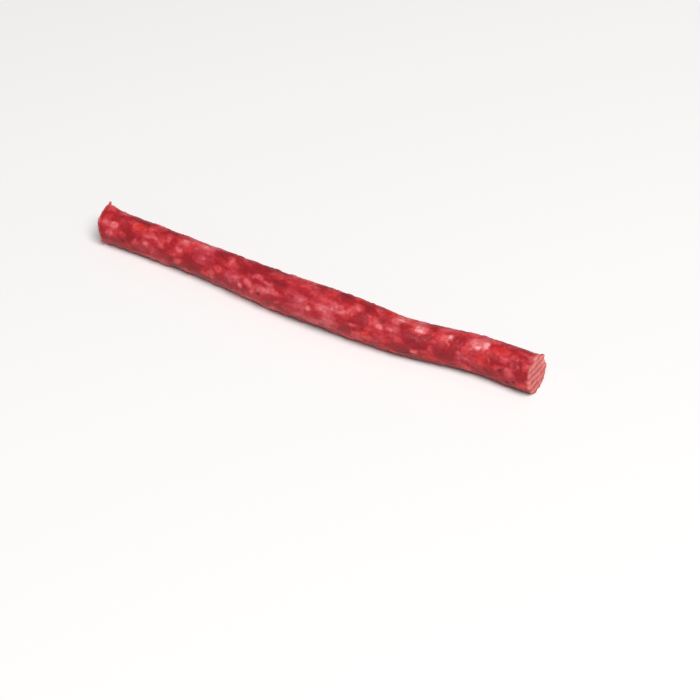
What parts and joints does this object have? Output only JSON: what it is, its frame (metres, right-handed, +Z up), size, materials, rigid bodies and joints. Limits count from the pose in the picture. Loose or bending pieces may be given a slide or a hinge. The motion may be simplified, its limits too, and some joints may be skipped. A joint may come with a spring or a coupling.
{
  "type": "pressed meat stick",
  "caption": "Slim, gently bowed stick of coarse red cured meat grains, pressed without a casing and sawn off at both ends; lies on its flattened underside as a chewy snack.",
  "frame": {"origin": "middle of the stick's footprint, on the surface it lies on", "axes": "+X along the stick towards the end whose saw cut is clean, -X towards the end with a broken corner, +Y away from the side it bows to, +Z up"},
  "size_m": [0.1266, 0.0128, 0.0099],
  "materials": {
    "pressed_meat": "coarse dried meat grains in a dark red binder, slightly greasy sheen, paler sawn ends"
  },
  "bodies": {
    "root": {"meat_stick": "pressed_meat"}
  },
  "joints": []
}
